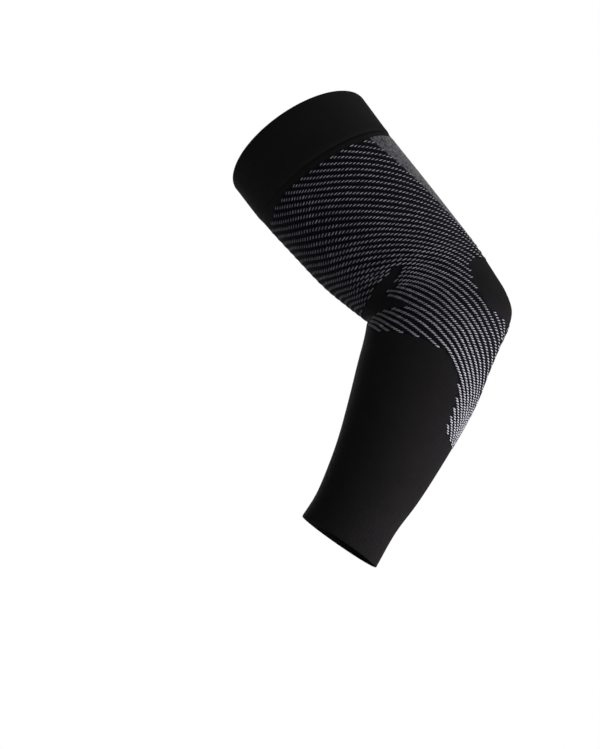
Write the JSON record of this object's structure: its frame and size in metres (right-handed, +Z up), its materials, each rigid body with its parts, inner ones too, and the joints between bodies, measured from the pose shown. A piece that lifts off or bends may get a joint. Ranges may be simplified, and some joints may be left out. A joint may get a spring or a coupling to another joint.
{
  "type": "arm sleeve",
  "caption": "Knitted compression sleeve for an arm, worn form: a bent, hollow tube of ribbed stretch knit with a doubled upper band, open at the upper arm and at the wrist.",
  "frame": {"origin": "centre of the mouth on the upper arm, where the arm goes in", "axes": "+Z up, +X towards the point of the elbow, -Y towards the outer side of the arm, as a standing wearer holds the bent arm"},
  "size_m": [0.2168, 0.182, 0.3708],
  "materials": {
    "band_knit": "matt black stretch knit",
    "body_knit": "matt black stretch knit with grey rib stitches"
  },
  "bodies": {
    "root": {"upper_band": "band_knit", "sleeve_body": "body_knit"}
  },
  "joints": []
}
